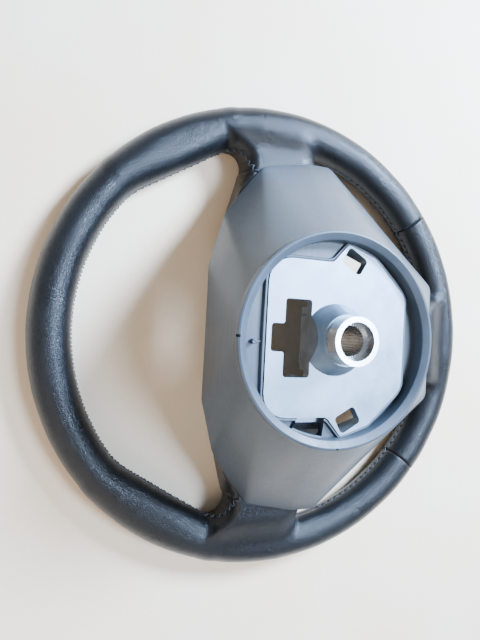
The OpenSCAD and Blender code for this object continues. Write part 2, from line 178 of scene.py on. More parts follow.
def leatherMaterial(name, look):
    material, tree, point = startMaterial(name)
    waves = addNode(tree, "ShaderNodeTexNoise", {
        "Vector": point, "Scale": 1 / (look["waves"] * mm), "Detail": 2.0})
    shift = addNode(tree, "ShaderNodeVectorMath", {
        0: waves.outputs["Color"], 1: (look["shift"] * mm,) * 3}, operation="MULTIPLY")
    bent = addNode(tree, "ShaderNodeVectorMath", {0: point, 1: shift.outputs[0]}, operation="ADD")
    cells = addNode(tree, "ShaderNodeTexVoronoi", {
        "Vector": bent.outputs[0], "Scale": 1 / (look["grain"] * mm)}, feature="DISTANCE_TO_EDGE")
    pebble = addNode(tree, "ShaderNodeMapRange", {
        "Value": cells.outputs["Distance"], "From Max": look["valley"]}).outputs["Result"]
    pores = addNode(tree, "ShaderNodeTexNoise", {
        "Vector": point, "Scale": 1 / (look["pores"] * mm), "Detail": 4.0}).outputs["Fac"]
    creases = addNode(tree, "ShaderNodeTexNoise", {
        "Vector": point, "Scale": 1 / (look["creases"] * mm), "Detail": 5.0, "Roughness": 0.6})
    patches = addNode(tree, "ShaderNodeTexNoise", {
        "Vector": point, "Scale": 1 / (look["patches"] * mm), "Detail": 3.0}).outputs["Fac"]
    height = addNode(tree, "ShaderNodeMath", {
        0: pores, 1: 0.35, 2: pebble}, operation="MULTIPLY_ADD")
    grain = addNode(tree, "ShaderNodeBump", {
        "Height": height.outputs[0], "Distance": look["depth"] * mm, "Strength": 0.55})
    normal = addNode(tree, "ShaderNodeBump", {
        "Height": creases.outputs["Fac"], "Distance": look["creaseDepth"] * mm, "Strength": 0.25,
        "Normal": grain.outputs["Normal"]})
    faded = addNode(tree, "ShaderNodeMapRange", {
        "Value": patches, "From Min": 0.35, "From Max": 0.65, "To Min": 0.6, "To Max": 1.0})
    tone = addNode(tree, "ShaderNodeMath", {
        0: pebble, 1: faded.outputs["Result"]}, operation="MULTIPLY")
    colour = addNode(tree, "ShaderNodeMix", {0: tone.outputs[0], **tones(look)}, data_type="RGBA")
    polish = addNode(tree, "ShaderNodeMath", {
        0: pores, 1: 0.4, 2: patches}, operation="MULTIPLY_ADD")
    rough = addNode(tree, "ShaderNodeMapRange", {
        "Value": polish.outputs[0], "From Min": 0.4, "From Max": 1.0,
        "To Min": look["rough"][0], "To Max": look["rough"][1]})
    shader = addNode(tree, "ShaderNodeBsdfPrincipled", {
        "Base Color": colour.outputs[2], "Roughness": rough.outputs["Result"],
        "Normal": normal.outputs["Normal"], "IOR": look["ior"],
        "Specular IOR Level": look["specular"], "Sheen Weight": look["sheen"],
        "Sheen Roughness": look["sheenRough"]})
    addNode(tree, "ShaderNodeOutputMaterial", {"Surface": shader.outputs["BSDF"]})
    return material


# Injection-moulded polypropylene with an eroded grain. It gives a matt grey shell whose wide, weak
# highlight is a little uneven, with faint scuffs.
coverLook = {
    "dark": "#363e46",
    "light": "#444e58",
    "grain": 0.5,  # drawn about twice as coarse as the mould's, so that it shows
    "depth": 0.08,
    "patches": 35.0,
    "scuffs": (40.0, 420.0, 420.0),  # waves a metre: 25 mm long and 2.4 mm wide
    "rough": (0.36, 0.52),
    "ior": 1.49,
}

# Moulded polyurethane foam, dyed dark: dull, with open pores and no highlight.
foamLook = {
    "dark": "#2a2a2b",
    "light": "#3b3b3c",
    "grain": 0.7,
    "depth": 0.1,
    "patches": 35.0,
    "scuffs": (40.0, 420.0, 420.0),
    "rough": (0.75, 0.9),
    "ior": 1.49,
}


def mouldedMaterial(name, look):
    material, tree, point = startMaterial(name)
    stipple = addNode(tree, "ShaderNodeTexNoise", {
        "Vector": point, "Scale": 1 / (look["grain"] * mm), "Detail": 2.0, "Roughness": 0.6})
    patches = addNode(tree, "ShaderNodeTexNoise", {
        "Vector": point, "Scale": 1 / (look["patches"] * mm), "Detail": 4.0}).outputs["Fac"]
    drawn = addNode(tree, "ShaderNodeVectorMath", {
        0: point, 1: look["scuffs"]}, operation="MULTIPLY")
    scuffs = addNode(tree, "ShaderNodeTexNoise", {
        "Vector": drawn.outputs[0], "Scale": 1.0, "Detail": 6.0})
    tone = addNode(tree, "ShaderNodeMapRange", {"Value": patches, "From Min": 0.3, "From Max": 0.7})
    colour = addNode(tree, "ShaderNodeMix", {0: tone.outputs["Result"], **tones(look)}, data_type="RGBA")
    worn = addNode(tree, "ShaderNodeMath", {
        0: scuffs.outputs["Fac"], 1: 0.5, 2: patches}, operation="MULTIPLY_ADD")
    rough = addNode(tree, "ShaderNodeMapRange", {
        "Value": worn.outputs[0], "From Min": 0.55, "From Max": 0.95,
        "To Min": look["rough"][0], "To Max": look["rough"][1]})
    normal = addNode(tree, "ShaderNodeBump", {
        "Height": stipple.outputs["Fac"], "Distance": look["depth"] * mm, "Strength": 0.8})
    shader = addNode(tree, "ShaderNodeBsdfPrincipled", {
        "Base Color": colour.outputs[2], "Roughness": rough.outputs["Result"],
        "Normal": normal.outputs["Normal"], "IOR": look["ior"]})
    addNode(tree, "ShaderNodeOutputMaterial", {"Surface": shader.outputs["BSDF"]})
    return material


# Die-cast magnesium as it leaves the die: a pale, blue-grey metal with a soft, blotchy gloss.
castLook = {
    "dark": "#6f7c88",
    "light": "#99a7b3",
    "grain": 0.8,  # flow marks
    "depth": 0.05,
    "patches": 18.0,
    "rough": (0.4, 0.56),
}

# Turned and broached steel: brighter and glossier than the casting.
steelLook = {
    "dark": "#b9bec3",
    "light": "#d9dcdf",
    "grain": 0.4,
    "depth": 0.02,
    "patches": 18.0,
    "rough": (0.22, 0.34),
}


def metalMaterial(name, look):
    material, tree, point = startMaterial(name)
    grain = addNode(tree, "ShaderNodeTexNoise", {
        "Vector": point, "Scale": 1 / (look["grain"] * mm), "Detail": 5.0, "Roughness": 0.65})
    patches = addNode(tree, "ShaderNodeTexNoise", {
        "Vector": point, "Scale": 1 / (look["patches"] * mm), "Detail": 4.0, "Roughness": 0.55})
    tone = addNode(tree, "ShaderNodeMapRange", {
        "Value": patches.outputs["Fac"], "From Min": 0.3, "From Max": 0.7})
    colour = addNode(tree, "ShaderNodeMix", {0: tone.outputs["Result"], **tones(look)}, data_type="RGBA")
    blotch = addNode(tree, "ShaderNodeMath", {
        0: grain.outputs["Fac"], 1: 0.3, 2: patches.outputs["Fac"]}, operation="MULTIPLY_ADD")
    rough = addNode(tree, "ShaderNodeMapRange", {
        "Value": blotch.outputs[0], "From Min": 0.45, "From Max": 0.85,
        "To Min": look["rough"][0], "To Max": look["rough"][1]})
    normal = addNode(tree, "ShaderNodeBump", {
        "Height": grain.outputs["Fac"], "Distance": look["depth"] * mm, "Strength": 0.7})
    shader = addNode(tree, "ShaderNodeBsdfPrincipled", {
        "Base Color": colour.outputs[2], "Roughness": rough.outputs["Result"],
        "Normal": normal.outputs["Normal"], "Metallic": 1.0})
    addNode(tree, "ShaderNodeOutputMaterial", {"Surface": shader.outputs["BSDF"]})
    return material


# Twisted and waxed polyester thread: dark grey, dull, with the lay of its strands just showing.
threadLook = {
    "dark": "#1d2024",
    "light": "#4d545d",
    "fuzz": 0.3,
    "lay": 420.0,  # bands 0.9 mm apart, coarser than the real twist so that they show
    "layDepth": 0.12,
    "rough": (0.5, 0.75),
}


def threadMaterial(name, look):
    material, tree, point = startMaterial(name)
    fuzz = addNode(tree, "ShaderNodeTexNoise", {
        "Vector": point, "Scale": 1 / (look["fuzz"] * mm), "Detail": 3.0}).outputs["Fac"]
    lay = addNode(tree, "ShaderNodeTexWave", {
        "Vector": point, "Scale": look["lay"], "Distortion": 2.0}, bands_direction="DIAGONAL")
    colour = addNode(tree, "ShaderNodeMix", {0: fuzz, **tones(look)}, data_type="RGBA")
    rough = addNode(tree, "ShaderNodeMapRange", {
        "Value": fuzz, "To Min": look["rough"][0], "To Max": look["rough"][1]})
    normal = addNode(tree, "ShaderNodeBump", {
        "Height": lay.outputs["Fac"], "Distance": look["layDepth"] * mm, "Strength": 0.8})
    shader = addNode(tree, "ShaderNodeBsdfPrincipled", {
        "Base Color": colour.outputs[2], "Roughness": rough.outputs["Result"],
        "Normal": normal.outputs["Normal"]})
    addNode(tree, "ShaderNodeOutputMaterial", {"Surface": shader.outputs["BSDF"]})
    return material


# Painted board: warm, pale and matt, with weak clouds and speckle.
floorLook = {
    "dark": "#fcdcb6",
    "light": "#ffe8cb",
    "speckle": 3.0,
    "clouds": 120.0,
    "depth": 0.15,
    "rough": (0.75, 0.9),
}


def floorMaterial(name, look):
    material, tree, point = startMaterial(name)
    speckle = addNode(tree, "ShaderNodeTexNoise", {
        "Vector": point, "Scale": 1 / (look["speckle"] * mm), "Detail": 6.0, "Roughness": 0.7})
    clouds = addNode(tree, "ShaderNodeTexNoise", {
        "Vector": point, "Scale": 1 / (look["clouds"] * mm), "Detail": 3.0})
    weak = addNode(tree, "ShaderNodeMath", {
        0: speckle.outputs["Fac"], 1: 0.4}, operation="MULTIPLY")
    mixed = addNode(tree, "ShaderNodeMath", {
        0: clouds.outputs["Fac"], 1: 0.6, 2: weak.outputs[0]}, operation="MULTIPLY_ADD")
    tone = addNode(tree, "ShaderNodeMapRange", {
        "Value": mixed.outputs[0], "From Min": 0.35, "From Max": 0.65})
    colour = addNode(tree, "ShaderNodeMix", {0: tone.outputs["Result"], **tones(look)}, data_type="RGBA")
    rough = addNode(tree, "ShaderNodeMapRange", {
        "Value": speckle.outputs["Fac"], "From Min": 0.3, "From Max": 0.7,
        "To Min": look["rough"][0], "To Max": look["rough"][1]})
    normal = addNode(tree, "ShaderNodeBump", {
        "Height": speckle.outputs["Fac"], "Distance": look["depth"] * mm, "Strength": 0.3})
    shader = addNode(tree, "ShaderNodeBsdfPrincipled", {
        "Base Color": colour.outputs[2], "Roughness": rough.outputs["Result"],
        "Normal": normal.outputs["Normal"]})
    addNode(tree, "ShaderNodeOutputMaterial", {"Surface": shader.outputs["BSDF"]})
    return material


# Mesh helpers


def makeObject(name, points, faces, material, smooth=True):
    mesh = bpy.data.meshes.new(name)
    mesh.from_pydata([tuple(p) for p in np.asarray(points) * mm], [], [tuple(f) for f in faces])
    mesh.update()
    piece = bpy.data.objects.new(name, mesh)
    bpy.context.scene.collection.objects.link(piece)
    if material:
        mesh.materials.append(material)
    if smooth:
        mesh.shade_smooth()
    return piece


# Faces of a grid whose last row joins the first, and whose last column joins the first.
def closedGrid(rows, columns):
    faces = []
    for k in range(rows):
        here, there = k * columns, (k + 1) % rows * columns
        for i in range(columns):
            j = (i + 1) % columns
            faces.append((here + i, here + j, there + j, there + i))
    return faces


def sharpenByAngle(piece, degrees):
    piece.data.set_sharp_from_angle(angle=math.radians(degrees))


# A mesh with its modifiers worked in.
def finished(piece):
    depsgraph = bpy.context.evaluated_depsgraph_get()
    mesh = bpy.data.meshes.new_from_object(piece.evaluated_get(depsgraph))
    piece.modifiers.clear()
    piece.data = mesh


def smoothMin(a, b, k):
    h = np.clip(0.5 + 0.5 * (b - a) / k, 0, 1)
    return b * (1 - h) + a * h - k * h * (1 - h)


def smoothMax(a, b, k):
    return -smoothMin(-a, -b, k)


def ramp(value, low, high):
    u = np.clip((value - low) / (high - low), 0, 1)
    return u * u * (3 - 2 * u)


# Leather: its surface is where a distance field is zero, and the field is below zero inside

rim = {
    "radius": 172.5,  # of the grip's centre circle
    "grip": 15.0,
    "grooveWidth": 1.3,  # where the laced edges are pulled in
    "grooveDepth": 0.6,
    "thumbStart": 49.0,  # degrees between which the thumb rest runs straight
    "thumbEnd": 15.0,
    "thumbInset": 0.5,
    "thumbRound": 3,
    "rootEnd": 166.0,
    "rootRound": 6,
    "blend": 8.0,  # from the grip into the spokes
    "roof": 39.2,  # just under the cover's edge
    "roofTurn": 146,  # where the roof starts to fall to the grip
    "roofFall": 0.5,
    "roofRound": 3,
    "edgeRound": 4,
    "bevelHeight": 24.0,
    "bevelTilt": 52.0,
    "sleeveEnd": 76.0,
    "lowerEnd": 112.0,
}

sideRoot = {
    "waistAt": (134.3, 46.5),  # the notch between thumb rest and spoke
    "waistRadius": 11.5,
    "waistLean": 16.0,
    "flankRun": 12,
    "flankRound": 6,
    "crestAt": (143.8, 44.0, 26.0),  # a point of the stitched edge
    "crestSlope": (2.9, -6.6),  # of the face above it
    "crestEnd": 88,
    "crestFade": 4,
    "crestRound": 9,
    "seamTurn": 56.0,  # the cover's slanted edge, seen along the hub axis
    "seamReach": 94.0,
    "seamHeight": 45.0,
    "seamFlare": 0.35,
    "seamScale": 0.94,  # makes the flare's field a distance again
    "cornerFrom": 84,
    "cornerFlare": 1.5,
    "seamRound": 3,
    "tuck": 9.5,  # how much higher the leather stands behind the slanted edge
    "tuckRun": (118, 104),
    "tuckClear": 0.8,
    "tuckAbove": 0.4,
    "slotLine": (-27.0, 0.33),
    "slotRound": 9,
    "bevelRound": 10,
    "baseRun": (76, 165),
    "base": (12, 4),
}

lowerRoot = {
    "half": 44.0,
    "bevelRound": 8,
    "sideRound": 5,
    "baseRun": (112, 165),
    "base": (10, 4),
}

# How far the side spoke's flank stands back from the waist's curve, by height.
flankTable = {
    "height": (0, 3, 6, 9, 12, 20, 26, 30, 35, 40, 45),
    "back": (10, 5.5, 2.6, 0.8, 0, 0.3, 0.8, 1.3, 2.2, 3.4, 7),
    "footRows": 5,
}

# Soft unevenness of hand-stretched leather: waves along x, y and z, and where each starts.
stretch = {
    "height": 0.05,
    "waves": ((0.11, 0.07, 0.16, 0.4), (-0.08, 0.13, -0.21, 1.9),
              (0.05, -0.19, 0.12, 3.1), (0.23, 0.04, -0.09, 5.2)),
}

crossSeam = {
    "azimuth": 50.5,  # degrees below three and nine o'clock
    "gap": 0.5,
    "round": 1.4,
}


def thumbField(x, y, z):
    angles = np.radians([rim["thumbStart"], rim["thumbEnd"]])
    start, end = (rim["radius"] * np.array([math.cos(a), math.sin(a)]) for a in angles)
    run = end - start
    share = np.clip(((x - start[0]) * run[0] + (y - start[1]) * run[1]) / (run @ run), 0, 1)
    away = np.hypot(x - start[0] - share * run[0], y - start[1] - share * run[1])
    return np.hypot(away, z - rim["grip"]) - rim["grip"] + rim["thumbInset"]


# Above zero inside the waist's curve and beyond the straight flank, which is outside the leather.
def flankField(x, y, z):
    waistX, waistY = sideRoot["waistAt"]
    lean = math.radians(sideRoot["waistLean"])
    rows = flankTable["footRows"]
    back = np.interp(z, flankTable["height"], flankTable["back"])
    foot = np.interp(z, flankTable["height"][:rows], flankTable["back"][:rows])
    along = (y - waistY) * math.sin(lean) - (x - waistX) * math.cos(lean)
    away = -(x - waistX) * math.sin(lean) - (y - waistY) * math.cos(lean)
    grown = foot + (back - foot) * ramp(along, sideRoot["flankRun"], 0)
    straight = sideRoot["waistRadius"] + grown - away
    curved = sideRoot["waistRadius"] + back - np.hypot(x - waistX, y - waistY)
    return np.where(along > 0, straight, curved)


# Distance out from the hub square to the cover's slanted edge, and along that edge.
def slantedAxes(x, y):
    turn = math.radians(sideRoot["seamTurn"])
    return x * math.cos(turn) + y * math.sin(turn), y * math.cos(turn) - x * math.sin(turn)


def slantField(x, y, z):
    away, along = slantedAxes(x, y)
    limit = sideRoot["seamReach"] + sideRoot["seamFlare"] * (sideRoot["seamHeight"] - z)
    limit = limit + sideRoot["cornerFlare"] * np.maximum(-sideRoot["cornerFrom"] - along, 0)
    return (away - limit) * sideRoot["seamScale"]


def crestField(x, y, z):
    crestX, crestY, crestZ = sideRoot["crestAt"]
    slopeX, slopeY = sideRoot["crestSlope"]
    lift = z - crestZ - slopeX * (x - crestX) - slopeY * (y - crestY)
    inwards = np.maximum(slantedAxes(x, y)[1] + sideRoot["crestEnd"], 0)
    return lift / math.hypot(1, math.hypot(slopeX, slopeY)) - sideRoot["crestFade"] * inwards


def bevelField(out, z):
    tilt = math.radians(rim["bevelTilt"])
    return out * math.sin(tilt) + (z - rim["bevelHeight"]) * math.cos(tilt)


# Behind the cover's slanted edge the leather stands clear of the cover's inner face.
def tuckField(x, y, z):
    turn = math.radians(cover["slantAzimuth"])
    top = cover["collarTop"] - cover["lip"]
    share = (top - z) / (top - cover["edgeHeight"])
    reach = cover["skinRadius"] + (cover["slant"] - cover["skinRadius"]) * share
    wall = reach - cover["wall"] - sideRoot["tuckClear"]
    above = 3 * (z - rim["roof"] - sideRoot["tuckAbove"])
    return np.minimum(x * math.cos(turn) + y * math.sin(turn) - wall, above)


def roofHeight(reach):
    fallen = rim["roof"] - rim["roofFall"] * (reach - rim["roofTurn"])
    return smoothMin(rim["roof"], fallen, rim["roofRound"])


def sideRootField(x, y, z):
    shoulder = rim["roof"] + sideRoot["tuck"] * ramp(x, *sideRoot["tuckRun"])
    roof = np.where(x < sideRoot["tuckRun"][0], shoulder, roofHeight(x))
    base = np.interp(x, sideRoot["baseRun"], sideRoot["base"])
    start, slope = sideRoot["slotLine"]
    slot = (start - slope * (rim["radius"] - rim["grip"] - x) - y) / math.hypot(1, slope)
    bevel = smoothMax(slot, bevelField(slot, z), sideRoot["bevelRound"])
    field = smoothMax(z - roof, base - z, rim["edgeRound"])
    field = smoothMax(field, flankField(x, y, z), sideRoot["flankRound"])
    field = smoothMax(field, slantField(x, y, z), sideRoot["seamRound"])
    field = smoothMax(field, crestField(x, y, z), sideRoot["crestRound"])
    field = smoothMax(field, bevel, sideRoot["slotRound"])
    field = smoothMax(field, np.hypot(x, y) - rim["rootEnd"], rim["rootRound"])
    return np.maximum(np.maximum(field, tuckField(x, y, z)), rim["sleeveEnd"] - x)


def lowerRootField(x, y, z):
    reach = -y
    base = np.interp(reach, lowerRoot["baseRun"], lowerRoot["base"])
    out = x - lowerRoot["half"]
    bevel = smoothMax(out, bevelField(out, z), lowerRoot["bevelRound"])
    field = smoothMax(z - roofHeight(reach), base - z, rim["edgeRound"])
    field = smoothMax(field, bevel, lowerRoot["sideRound"])
    field = smoothMax(field, np.hypot(x, y) - rim["rootEnd"], rim["rootRound"])
    return np.maximum(field, rim["lowerEnd"] - reach)


def stretchField(x, y, z):
    waves = (np.sin(a * x + b * y + c * z + d) for a, b, c, d in stretch["waves"])
    return sum(waves) * stretch["height"]


def leatherField(x, y, z):
    side = np.abs(x)
    out, up = np.hypot(x, y) - rim["radius"], z - rim["grip"]
    tube = smoothMin(np.hypot(out, up) - rim["grip"], thumbField(side, y, z), rim["thumbRound"])
    groove = np.exp(-(up / rim["grooveWidth"]) ** 2) * (out < 0)
    field = smoothMin(tube + rim["grooveDepth"] * groove, sideRootField(side, y, z), rim["blend"])
    return smoothMin(field, lowerRootField(side, y, z), rim["blend"]) + stretchField(x, y, z)


# Above zero on the lower panel's side of a cross seam.
def belowSeam(x, y, z):
    turn = math.radians(crossSeam["azimuth"])
    return -(np.abs(x) * math.sin(turn) + y * math.cos(turn))


def upperField(x, y, z):
    cut = belowSeam(x, y, z) + crossSeam["gap"] / 2
    return smoothMax(leatherField(x, y, z), cut, crossSeam["round"])


def lowerField(x, y, z):
    cut = crossSeam["gap"] / 2 - belowSeam(x, y, z)
    return smoothMax(leatherField(x, y, z), cut, crossSeam["round"])


def slopeOf(field, points, reach=0.05):
    steps = np.eye(3) * reach
    return np.stack([
        (field(*(points + s).T) - field(*(points - s).T)) / (2 * reach) for s in steps], axis=1)


# Moves points along the field's slope until they lie on its zero.
def settle(field, points, rounds=3):
    for _ in range(rounds):
        slope = slopeOf(field, points)
        size = np.maximum((slope ** 2).sum(axis=1), 0.05)
        points = points - slope * (field(*points.T) / size)[:, None]
    return points


# Quads around the zero of a field sampled on a grid, with one point for each cell that it crosses.
def surfaceOf(field, low, high, step):
    axes = [np.arange(a, b + step, step) for a, b in zip(low, high)]
    x, y, z = np.meshgrid(*axes, indexing="ij")
    value = field(x, y, z)
    inside = value < 0
    cells = tuple(n - 1 for n in value.shape)
    total = np.zeros((np.prod(cells), 3))
    count = np.zeros(np.prod(cells))
    quads = []
    for axis in range(3):
        head = [slice(None)] * 3
        tail = [slice(None)] * 3
        head[axis], tail[axis] = slice(0, -1), slice(1, None)
        head, tail = tuple(head), tuple(tail)
        at = np.argwhere(inside[head] != inside[tail])
        first, last = value[head][tuple(at.T)], value[tail][tuple(at.T)]
        place = at.astype(float)
        place[:, axis] += first / (first - last)
        b, c = (axis + 1) % 3, (axis + 2) % 3
        ring = []
        for db, dc in ((0, 0), (1, 0), (1, 1), (0, 1)):
            cell = at.copy()
            cell[:, b] -= db
            cell[:, c] -= dc
            flat = np.ravel_multi_index(tuple(cell.T), cells)
            np.add.at(total, flat, place)
            np.add.at(count, flat, 1)
            ring.append(flat)
        ring = np.stack(ring, axis=1)
        leaving = inside[head][tuple(at.T)]
        quads.append(np.where(leaving[:, None], ring, ring[:, ::-1]))
    used = np.flatnonzero(count)
    points = total[used] / count[used, None] * step + np.array(low)
    number = np.full(len(count), -1)
    number[used] = np.arange(len(used))
    return points, number[np.concatenate(quads)]


# Evens out the quads: a point goes halfway to the middle of its neighbours, then settles.
def relaxed(points, faces, field, rounds):
    edges = np.concatenate([faces[:, [i, (i + 1) % 4]] for i in range(4)])
    degree = sum(np.bincount(edges[:, k], minlength=len(points)) for k in (0, 1))
    for _ in range(rounds):
        total = np.zeros_like(points)
        np.add.at(total, edges[:, 0], points[edges[:, 1]])
        np.add.at(total, edges[:, 1], points[edges[:, 0]])
        points = settle(field, 0.5 * points + 0.5 * total / degree[:, None], 1)
    return settle(field, points, 2)


panel = {
    "step": 1.25,  # width of a quad
    "quickStep": 2.4,
    "relaxRounds": 4,
    "upperBox": ((-191.3, -152.3, -2.6), (191.3, 191.3, 60)),
    "lowerBox": ((-128.3, -191.3, -2.6), (128.3, -88, 60)),
}


def buildPanel(name, field, node, box, material):
    step = panel["step"]
    points, faces = surfaceOf(field, *box, step)
    points = relaxed(points, faces, field, panel["relaxRounds"])
    points[:, 2] = np.maximum(points[:, 2], 0.0)  # it rests on the floor
    piece = makeObject(name, points, faces, material)
    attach(piece, "root")
    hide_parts(node)
    print(name, len(points), "points")


# Foam that shows at the inner end of each spoke, a little proud of the leather and thinner than it
foamEnds = {
    "proud": 1,
    "length": 6,
    "thinner": 1.5,
    "shift": 8,  # the section is taken this far out, where the spoke is even
    "step": 1.6,
    "box": ((-90.3, -130.3, 2.3), (90.3, 70.3, 58.3)),
    "sharpFrom": 35,
}


def foamField(x, y, z):
    x = np.abs(x)
    proud, length = foamEnds["proud"], foamEnds["length"]
    sideEnds = np.maximum(rim["sleeveEnd"] - proud - x, x - rim["sleeveEnd"] - length)
    lowerEnds = np.maximum(rim["lowerEnd"] - proud + y, -y - rim["lowerEnd"] - length)
    side = sideRootField(x + foamEnds["shift"], y, z) + foamEnds["thinner"]
    lower = lowerRootField(x, y - foamEnds["shift"], z) + foamEnds["thinner"]
    return np.minimum(np.maximum(side, sideEnds), np.maximum(lower, lowerEnds))


def buildFoam(material):
    points, faces = surfaceOf(foamField, *foamEnds["box"], foamEnds["step"])
    piece = makeObject("sleeveFoam", settle(foamField, points, 3), faces, material)
    sharpenByAngle(piece, foamEnds["sharpFrom"])
    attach(piece, "root")
    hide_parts("rim_foam")
    print("foam built")


# Rear cover: a wall that changes from the collar's circle to a foot of flat faces

cover = {
    "collarTop": 128.0,
    "collarRadius": 66.8,
    "collarWidth": 5.8,
    "cupDepth": 11.0,
    "lip": 6.5,
    "wall": 2.5,
    "edgeRound": 0.7,
    "skinRadius": 65.6,
    "skinRise": 1.5,  # into the collar
    "edgeHeight": 40.0,
    "topEdgeHeight": 55.0,  # the edge is higher round twelve o'clock
    "topEdgeFrom": 36,  # degrees from twelve o'clock
    "topEdgeRun": 42,
    "side": 138.7,  # from the hub's axis to each flat face of the foot
    "shoulder": 132.5,
    "slot": 128.0,
    "slant": 100.5,
    "low": 141.0,
    "turn": 83.0,
    "top": 67.6,
    "slotAzimuth": 40.0,
    "shoulderAzimuth": 12.0,
    "slantAzimuth": 51.0,
    "turnAzimuth": 70.0,
    "footRadius": 10.0,
    "cornerSteps": 14,
    "flatSteps": 8,
    "outerRows": 30,
    "innerRows": 10,
    "sharpFrom": 40,
}


# Azimuth and reach of each flat face, all the way round.
def footFlats():
    sides = [(cover[key + "Azimuth"], cover[key]) for key in ("shoulder", "slant", "turn")]
    opposite = [(180 - azimuth, reach) for azimuth, reach in reversed(sides)]
    start = [(-cover["slotAzimuth"], cover["slot"]), (0, cover["side"])]
    end = [(180, cover["side"]), (180 + cover["slotAzimuth"], cover["slot"]), (270, cover["low"])]
    return start + sides + [(90, cover["top"])] + opposite + end


# Centre of the rounding between two flat faces.
def footCorner(f, g):
    a, b = math.radians(f[0]), math.radians(g[0])
    m, n = f[1] - cover["footRadius"], g[1] - cover["footRadius"]
    corner = np.array([m * math.sin(b) - n * math.sin(a), n * math.cos(a) - m * math.cos(b)])
    return corner / math.sin(b - a)


# Each column of the wall is a straight line from the collar's circle down to the foot: its
# direction outwards, and the point of the foot that it leads to.
def wallColumns():
    flats = footFlats()
    corners = [footCorner(f, flats[(k + 1) % len(flats)]) for k, f in enumerate(flats)]
    columns = []
    for k, corner in enumerate(corners):
        start = flats[k][0]
        turn = (flats[(k + 1) % len(flats)][0] - start) % 360
        for i in range(cover["cornerSteps"] + 1):
            columns.append((start + turn * i / cover["cornerSteps"], corner))
        following = corners[(k + 1) % len(corners)]
        for i in range(1, cover["flatSteps"]):
            columns.append((start + turn, corner + (following - corner) * i / cover["flatSteps"]))
    return columns


def coverEdge(azimuth):
    share = float(ramp((abs(azimuth - 90) - cover["topEdgeFrom"]) / cover["topEdgeRun"], 0, 1))
    return cover["topEdgeHeight"] + (cover["edgeHeight"] - cover["topEdgeHeight"]) * share


# One ring of the wall, at a share of the way down, moved in by the inset and up by the lift.
def coverRing(share, inset, lift=0.0):
    start = cover["collarTop"] - cover["lip"]
    ring = []
    for turn, corner in wallColumns():
        out = np.array([math.cos(math.radians(turn)), math.sin(math.radians(turn))])
        foot = cover["footRadius"] * out + corner
        end = coverEdge(math.degrees(math.atan2(foot[1], foot[0])))
        z = start + (end - start) * share + lift
        t = 0.01 + 0.99 * (start - z) / (start - cover["edgeHeight"])
        radius = cover["skinRadius"] + (cover["footRadius"] - cover["skinRadius"]) * t - inset
        ring.append((*(radius * out + t * corner), z))
    return np.array(ring)


def buildCoverSkin(material):
    wall, bend, rise = cover["wall"], cover["edgeRound"], (0, 0, cover["skinRise"])
    quarter = 1.57
    rings = [coverRing(0, 0) + rise]
    rings += [coverRing(u, 0) for u in np.linspace(0, 0.985, cover["outerRows"])]
    rings += [coverRing(1, bend * (1 - math.cos(a)), bend * (1 - math.sin(a)))
              for a in np.linspace(0, quarter, 5)]
    rings += [coverRing(1, wall - bend * (1 - math.sin(a)), bend * (1 - math.cos(a)))
              for a in np.linspace(0, quarter, 4)]
    rings += [coverRing(u, wall) for u in np.linspace(0.97, 0, cover["innerRows"])]
    rings.append(coverRing(0, wall) + rise)
    faces = closedGrid(len(rings), len(rings[0]))
    piece = makeObject("coverSkin", np.concatenate(rings), faces, material)
    sharpenByAngle(piece, cover["sharpFrom"])
    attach(piece, "root")
    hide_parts("rear_cover")
    print("cover skin built")


def lathe(name, profile, material, steps=192, centre=(0, 0)):
    angles = np.linspace(0, 2 * math.pi, steps, endpoint=False)
    rings = [np.stack([centre[0] + r * np.cos(angles), centre[1] + r * np.sin(angles),
                       np.full(steps, z)], axis=1) for r, z in profile]
    return makeObject(name, np.concatenate(rings), closedGrid(len(rings), steps), material)


# A closed outline with its corners rounded; a radius of 0 keeps the corner.
def roundedProfile(corners, radii, steps=5):
    out = []
    n = len(corners)
    for i, radius in enumerate(radii):
        a, b, c = (np.array(corners[k % n], float) for k in (i - 1 + n, i, i + 1))
        if radius == 0:
            out.append(tuple(b))
            continue
        u, v = (a - b) / np.linalg.norm(a - b), (c - b) / np.linalg.norm(c - b)
        half = math.acos(np.clip(u @ v, -1, 1)) / 2
        reach = radius / math.tan(half)
        middle = b + (u + v) / np.linalg.norm(u + v) * radius / math.sin(half)
        first, last = b + u * reach - middle, b + v * reach - middle
        start = math.atan2(first[1], first[0])
        sweep = (math.atan2(last[1], last[0]) - start + math.pi) % (2 * math.pi) - math.pi
        for s in range(steps + 1):
            turn = start + sweep * s / steps
            out.append(tuple(middle + radius * np.array([math.cos(turn), math.sin(turn)])))
    return out


def block(low, high):
    corners = [(x, y, z) for z in (low[2], high[2]) for x, y in (
        (low[0], low[1]), (high[0], low[1]), (high[0], high[1]), (low[0], high[1]))]
    sides = [(k, (k + 1) % 4, (k + 1) % 4 + 4, k + 4) for k in range(4)]
    return corners, [(3, 2, 1, 0), (4, 5, 6, 7)] + sides


collar = {
    "innerDrop": 2.4,  # the crown falls to the inner edge
    "crownIn": 1.6,
    "outerDrop": 0.6,
    "step": 2,  # how much wider it is inside, below the lip
    "radii": [0, 0.9, 0.8, 0.5, 0.6, 0, 0],
    "notchAzimuths": (90, 180),  # at twelve and at nine o'clock
    "notchHalf": 0.8,
    "notchDepth": 4,
    "sharpFrom": 40,
}


